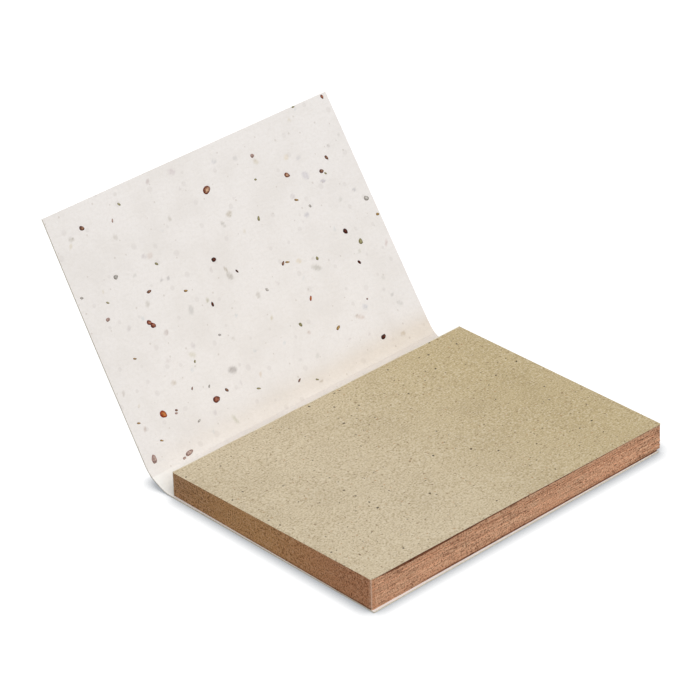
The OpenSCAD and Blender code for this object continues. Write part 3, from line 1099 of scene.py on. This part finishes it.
@dataclass
class PageBlock:
    """Glued block of kraft sheets with slightly uneven cut edges and a loose top sheet."""

    width: float = 105.1
    depth: float = 74.45
    sheets: int = 75
    skew: float = 0.4
    place: tuple[float, float, float] = (0.75, 36.75, 0.35)
    # How far the sheets fan out to the left towards the free edge
    fan: float = 0.4
    spine_height: float = 7.1
    front_left_height: float = 9.2
    front_right_height: float = 8.0
    sheet_share: float = 0.93
    corner: float = 0.22
    # The lowest sheets were pushed back from the right, and the lowest of them lie in shadow
    low_sheets: int = 6
    low_right: float = -1.0
    low_shade: float = 0.15
    # Under the top sheet each sheet hangs back over its own part of the front edge, from the top down, and is
    # painted dark there as shade
    slack_spans: tuple[tuple[float, float], ...] = (
        (0.0, 1.1), (0.005, 0.9), (0.01, 0.68), (0.02, 0.45), (0.03, 0.38), (0.045, 0.32), (0.06, 0.27),
        (0.08, 0.22))
    slack_hollow: float = 0.14
    slack_shade: float = 0.1
    # Sheets that stand back near the right-hand front corner, painted darker there as shade
    stepped: tuple[int, ...] = (47, 53, 58, 59, 65)
    stepped_back: float = 0.2
    stepped_shade: float = 0.3
    # Shares of the width over which a hollow begins and ends
    ease: tuple[float, float] = (0.03, 0.09)
    # How strongly the left front corner is painted pale, as wear and as a highlight, on its edge and just
    # beside it
    wear_and_highlight: tuple[float, float] = (0.95, 0.2)
    # Height over which the course of the cut edges is laid out
    course_height: float = 8.2
    # Top sheet: its thickness, its gap, the height of its bow at the free edge and of its waves
    top_thickness: float = 0.1
    top_gap: float = 0.02
    top_bow: float = 0.08
    top_wave: float = 0.03
    chance: int = 5

    def pad_frame(self) -> Matrix:
        """Matrix from the pad's own millimetres, from its left spine corner, to the row frame's."""
        return (Matrix.Translation(self.place) @ Matrix.Rotation(math.radians(-self.skew), 4, "Z")
                @ Matrix.Translation((-self.width / 2, 0, 0)))

    def height(self, x: np.ndarray, y: np.ndarray) -> np.ndarray:
        """Height of the block's top over its bottom at places in the pad's own millimetres."""
        share, out = np.clip(x / self.width, 0, 1), np.clip(-y / self.depth, 0, 1)
        front = self.front_left_height * (1 - share) + self.front_right_height * share
        return self.spine_height * (1 - out) + front * out

    def outlines(self) -> list[SheetOutline]:
        """Outline of each sheet but the top one, from below."""
        rng = random.Random(self.chance)
        found = []
        jog, jog_right, tone = 0.0, 0.0, 0.9
        for number in range(self.sheets - 1):
            if rng.random() < 0.35:
                jog, jog_right = rng.gauss(0, 0.05), rng.gauss(0, 0.04)
                tone = rng.uniform(0.78, 1.0)
            left, right = abs(rng.gauss(0, 0.015)), rng.gauss(0, 0.02)
            front, front_right = jog + rng.gauss(0, 0.03), jog_right + rng.gauss(0, 0.03)
            tone_left, tone_right = tone - rng.uniform(-0.08, 0.2), tone - rng.uniform(-0.08, 0.12)
            tone_side, under_top = rng.uniform(0.78, 0.9), self.sheets - 2 - number
            if number < self.low_sheets:
                dark = self.low_shade if number < 4 else 0.6
                found.append(SheetOutline(
                    0.1, self.low_right, 0.0, 0.05, 0.75, dark, 0.2 + 0.15 * number, 0.7,
                    hollow=0.06, hollow_shade=dark, hollow_span=(0.17, 1.1)))
            elif under_top < len(self.slack_spans):
                found.append(SheetOutline(
                    left, right, 0.02, 0.04, 0.9, 0.75, tone_side, tone_side, hollow=self.slack_hollow,
                    hollow_shade=self.slack_shade, hollow_span=self.slack_spans[under_top]))
            elif number in self.stepped:
                found.append(SheetOutline(left, right, front, front_right + self.stepped_back, tone_left,
                                          self.stepped_shade, tone_side, tone_side))
            else:
                found.append(SheetOutline(left, right, front, front_right, tone_left, tone_right, tone_side,
                                          tone_side))
        return found

    def shape(self, name: str, columns: np.ndarray, rows: np.ndarray, level: float,
              outline: SheetOutline) -> bpy.types.Mesh:
        """Shapes one sheet as a grid whose outline and height follow the block.

        Args:
            name: Name of the mesh.
            columns: Places across as shares of the width.
            rows: Places from the front edge to the spine as shares of the depth.
            level: Height of the sheet as a share of the block's.
            outline: How the sheet departs from the block.

        Returns:
            The mesh in the row frame, in metres, with its tone and painted shade, its corners painted pale as
            wear and highlight, and its edges' course.
        """
        data, column, row = grid_mesh(name, len(columns), len(rows))
        s, t = columns[column], rows[row]
        start, end = outline.hollow_span
        within = np.clip((s - start) / self.ease[0], 0, 1) * np.clip((end - s) / self.ease[1], 0, 1)
        start_x = outline.left - self.fan * (1 - t)
        x = start_x + (self.width + outline.right - start_x) * s
        front = outline.front_left * (1 - s) + outline.front_right * s + outline.hollow * within
        y = (front - self.depth) * (1 - t)
        corner = ((column == 0) | (column == len(columns) - 1)) & (row == 0)
        x = np.where(corner, x + np.where(column == 0, 0.5, -0.5) * self.corner, x)
        y = np.where(corner, y + 0.5 * self.corner, y)
        z = level * self.height(x, y)
        places = moved(np.stack([x, y, z], 1), self.pad_frame())
        data.vertices.foreach_set("co", (places * MM).ravel())
        ends = outline.tone_left + (outline.tone_right - outline.tone_left) * s
        # Painted shade where the front edge stands back in a hollow
        tone = ends + (outline.hollow_shade - ends) * within
        side = outline.tone_side * (1 - t) + outline.tone_spine * t
        point_values(data, "tone", np.where(row == 0, tone, side))
        near = (column <= 1) & (row <= 1) & ((column == 0) | (row == 0))
        # Painted pale corner: wear and highlight
        edge_wear_and_highlight, near_wear_and_highlight = self.wear_and_highlight
        point_values(data, "wear_and_highlight", np.where(corner & (column == 0), edge_wear_and_highlight, np.where(near, near_wear_and_highlight, 0.0)))
        plane_coordinates(data, "edge", x - y + 10, np.full(len(x), level * self.course_height + 10))
        return data

    def build(self, face: bpy.types.Material, edge: bpy.types.Material,
              top_edge_highlight: bpy.types.Material) -> None:
        """Builds the block and its top sheet.

        Args:
            face: Material of the top sheet's faces.
            edge: Material of the cut edges, which is all that shows of the other sheets.
            top_edge_highlight: Material of the top sheet's edge, painted paler as a highlight where it catches
                the light.
        """
        corner, width = self.corner, self.width
        columns = np.array([0, corner, 1, 3, 6, 9, 14, 20, 26, 33, 42, 52, 64, 76, 87, 96,
                            width - corner, width]) / width
        rows = np.array([0, corner, 1.2, 5, 18, 45, self.depth]) / self.depth
        work = bmesh.new()
        for number, outline in enumerate(self.outlines()):
            data = self.shape("sheet", columns, rows, number / self.sheets, outline)
            work.from_mesh(data)
            bpy.data.meshes.remove(data)
        data = bpy.data.meshes.new("page_sheets")
        work.to_mesh(data)
        work.free()
        block = new_piece("page_sheets", data, edge)
        mean_height = (self.spine_height + self.front_left_height) / 2
        thicken(block, self.sheet_share * mean_height / self.sheets, 1.0, 0)
        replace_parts(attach(block, "pad"), "page_block")
        report(block)
        self.top_sheet(face, top_edge_highlight)

    def top_sheet(self, face: bpy.types.Material, edge: bpy.types.Material) -> None:
        """Builds the top sheet, which lies a little loose above the slack ones.

        Args:
            face: Material of its faces.
            edge: Material of its cut edge.
        """
        columns = np.concatenate([[0, 0.003], np.linspace(0.01, 0.99, 60), [0.997, 1]])
        rows = np.concatenate([[0, 0.004], np.linspace(0.015, 1, 44)])
        outline = SheetOutline(-0.02, 0.03, -0.04, -0.04, 0.9, 0.85, 0.9)
        data = self.shape("top_sheet", columns, rows, (self.sheets - 1) / self.sheets, outline)
        points = np.zeros(len(data.vertices) * 3)
        data.vertices.foreach_get("co", points)
        points = points.reshape(-1, 3) / MM
        own = moved(points, self.pad_frame().inverted())
        out = np.clip(-own[:, 1] / self.depth, 0, 1)
        bow = np.sin(np.pi * np.clip(own[:, 0] / self.width, 0, 1) ** 0.8)
        waves = np.array([noise.noise(Vector((a / 31, b / 24, 1.3))) for a, b in own[:, :2]])
        points[:, 2] += self.top_bow * bow * out ** 10 + self.top_gap
        points[:, 2] += self.top_wave * np.abs(waves) * np.clip(out * 4, 0, 1)
        data.vertices.foreach_set("co", (points * MM).ravel())
        data.update()
        sheet = new_piece("top_sheet", data, face, edge)
        thicken(sheet, self.top_thickness, 1.0, 1)
        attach(sheet, "pad")
        report(sheet)


@dataclass
class PaddingFilm:
    """Film of dried padding glue brushed over the block's spine side."""

    block: PageBlock
    thickness: float = 0.2
    unevenness: float = 0.03
    # How far the brushed film stands up past the sheets
    lap: float = 0.22
    columns: int = 106
    rows: int = 15

    def build(self, glue: bpy.types.Material) -> None:
        """Builds the film.

        Args:
            glue: Its material.
        """
        data, column, row = grid_mesh("padding_film", self.columns, self.rows)
        x = column / (self.columns - 1) * self.block.width
        z = row / (self.rows - 1) * (self.block.spine_height + self.lap)
        lumps = np.array([noise.noise(Vector((a / 9, b / 1.6, 5.5))) for a, b in zip(x, z)])
        y = self.thickness / 2 + self.unevenness * lumps
        places = moved(np.stack([x, y, z], 1), self.block.pad_frame())
        data.vertices.foreach_set("co", (places * MM).ravel())
        data.update()
        film = new_piece("padding_film", data, glue)
        thicken(film, self.thickness, 0.0, 0)
        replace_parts(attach(film, "pad"), "padding_glue")
        report(film)


@dataclass
class Studio:
    """Pale floor, soft lamp, plain surroundings and the camera of the photograph."""

    # Camera in units of the pad's long side, found from the photograph's corners
    unit: float = 105.0
    azimuth: float = -42.906
    elevation: float = 30.5465
    roll: float = -1.337
    right_shift: float = 0.43503
    up_shift: float = 0.36087
    distance: float = 9.45432
    focal_pixels: float = 3821.5
    image_pixels: float = 700.0
    sensor: float = 36.0
    key_from: tuple[float, float, float] = (-0.03, -0.5, 0.86)
    key_distance: float = 1.6
    key_size: float = 1.5
    key_power: float = 18.5
    ambient: float = 0.46
    # What the floor looks like: the board answers a little to the light, its own glow makes it white,
    # and a contact shadow darkens it within this many millimetres of the object
    board: str = "#454545"
    glow: float = 1.09
    shadow_reach: float = 5.0
    shadow: str = "#a0a3a7"
    # Grey of the floor where it only throws light back, and faintly cool air
    bounce: str = "#a0a0a0"
    air: tuple[float, float, float, float] = (0.985, 1.0, 1.02, 1.0)
    # Half the floor's side in metres, and how far in millimetres it lies below the object
    floor_half: float = 6.0
    floor_drop: float = 0.02

    def camera(self, pad: Matrix) -> None:
        """Places the camera.

        Args:
            pad: Matrix from the pad's own millimetres to the row frame's.
        """
        az, el, roll = (math.radians(v) for v in (self.azimuth, self.elevation, self.roll))
        back = Vector((math.sin(az) * math.cos(el), -math.cos(az) * math.cos(el), math.sin(el)))
        right = Vector((math.cos(az), math.sin(az), 0.0))
        up = back.cross(right)
        side = right * math.cos(roll) + up * math.sin(roll)
        top = up * math.cos(roll) - right * math.sin(roll)
        eye = (side * self.right_shift + top * self.up_shift + back * self.distance) * self.unit
        turn = pad.to_3x3()
        axes = Matrix([turn @ v for v in (side, top, back)]).transposed().to_4x4()
        data = bpy.data.cameras.new("camera")
        data.sensor_width = self.sensor
        data.lens = self.focal_pixels * self.sensor / self.image_pixels
        data.clip_start, data.clip_end = 0.05, 20.0
        camera = bpy.data.objects.new("camera", data)
        camera.matrix_world = Matrix.Translation((pad @ eye) * MM) @ axes
        bpy.context.scene.collection.objects.link(camera)
        bpy.context.scene.camera = camera

    def seen_directly(self, tree: bpy.types.NodeTree) -> bpy.types.NodeSocket:
        """Socket that is one where the camera sees a surface itself, in a mirror or through glass."""
        path = add_node(tree, "ShaderNodeLightPath")
        mirrored = add_node(tree, "ShaderNodeMath", {"operation": "MAXIMUM"}, {
            0: path.outputs["Is Glossy Ray"], 1: path.outputs["Is Transmission Ray"]})
        return add_node(tree, "ShaderNodeMath", {"operation": "MAXIMUM"}, {
            0: path.outputs["Is Camera Ray"], 1: mirrored.outputs[0]}).outputs[0]

    def floor(self) -> None:
        """Lays the floor: white to the eye, with the object's soft shadow, and plain grey as a bounce."""
        work = bmesh.new()
        bmesh.ops.create_grid(work, x_segments=1, y_segments=1, size=self.floor_half)
        bmesh.ops.translate(work, verts=work.verts, vec=(0, 0, -self.floor_drop * MM))
        data = bpy.data.meshes.new("floor")
        work.to_mesh(data)
        work.free()
        material = bpy.data.materials.new("matt_white_backdrop_board")
        tree = empty_tree(material)
        bounce = add_node(tree, "ShaderNodeBsdfDiffuse", inputs={"Color": linear(self.bounce)})
        near = add_node(tree, "ShaderNodeAmbientOcclusion", {"samples": 8}, {
            "Distance": self.shadow_reach * MM})
        clear = add_node(tree, "ShaderNodeMapRange", inputs={0: near.outputs["AO"], 1: 0.5, 2: 1.0})
        open_share = add_node(tree, "ShaderNodeMix", BLEND, {
            0: clear.outputs[0], 6: linear(self.shadow), 7: (1.0, 1.0, 1.0, 1.0)})
        board = add_node(tree, "ShaderNodeMix", TINT, {
            0: 1.0, 6: open_share.outputs[2], 7: linear(self.board)})
        lit = add_node(tree, "ShaderNodeBsdfDiffuse", inputs={"Color": board.outputs[2]})
        glow = add_node(tree, "ShaderNodeEmission", inputs={
            "Color": open_share.outputs[2], "Strength": self.glow})
        white = add_node(tree, "ShaderNodeAddShader", inputs={0: lit.outputs[0], 1: glow.outputs[0]})
        shader = add_node(tree, "ShaderNodeMixShader", inputs={
            0: self.seen_directly(tree), 1: bounce.outputs[0], 2: white.outputs[0]})
        add_node(tree, "ShaderNodeOutputMaterial", inputs={"Surface": shader.outputs[0]})
        new_piece("floor", data, material)

    def lamp(self) -> None:
        """Hangs the square soft key lamp, which faces the object."""
        data = bpy.data.lights.new("key_lamp", "AREA")
        data.shape, data.size, data.energy = "SQUARE", self.key_size, self.key_power
        lamp = bpy.data.objects.new("key_lamp", data)
        towards = Vector(self.key_from).normalized()
        turn = towards.to_track_quat("Z", "Y").to_matrix().to_4x4()
        lamp.matrix_world = Matrix.Translation(towards * self.key_distance) @ turn
        bpy.context.scene.collection.objects.link(lamp)

    def surroundings(self) -> None:
        """Makes the plain surroundings: even light, and white to the eye."""
        world = bpy.data.worlds.new("studio")
        tree = empty_tree(world)
        soft = add_node(tree, "ShaderNodeBackground", inputs={
            "Color": self.air, "Strength": self.ambient})
        white = add_node(tree, "ShaderNodeBackground", inputs={
            "Color": (1.0, 1.0, 1.0, 1.0), "Strength": 1.0})
        mix = add_node(tree, "ShaderNodeMixShader", inputs={
            0: self.seen_directly(tree), 1: soft.outputs[0], 2: white.outputs[0]})
        add_node(tree, "ShaderNodeOutputWorld", inputs={"Surface": mix.outputs[0]})
        bpy.context.scene.world = world

    def build(self, pad: Matrix) -> None:
        """Builds the studio.

        Args:
            pad: Matrix from the pad's own millimetres to the row frame's.
        """
        self.floor()
        self.lamp()
        self.surroundings()
        self.camera(pad)
        bpy.context.scene.view_settings.view_transform = "Standard"


def main() -> None:
    """Builds the pieces in order."""
    logging.basicConfig(level=logging.INFO, format="%(message)s")
    paper = SeedPaper().make()
    # The card's cut edges are a yellower cream than its faces: painted warm light thrown back from the brown
    # block
    card_edge = SeedPaper(name="seed_paper_cut_edge", pulp="#ece2cc", cloud="#dfd3ba", strip_light="#ece6da").make()
    kraft = KraftFace().make()
    edge = CutEdge().make()
    # The top sheet's edge is painted paler as a highlight where it catches the light
    top_edge_highlight = CutEdge(name="kraft_top_edge_highlight", warm="#f3e4cb", side="#d8b98c", side_front="#e0bf9b",
                       dark="#c4a87e").make()
    block = PageBlock()
    block.build(kraft, edge, top_edge_highlight)
    PaddingFilm(block).build(PaddingGlue().make())
    cover = Cover()
    cover.build(paper, card_edge)
    Seeds(cover.line).build(SeedHusk().make())
    Studio().build(block.pad_frame())


if __name__ == "__main__":
    main()
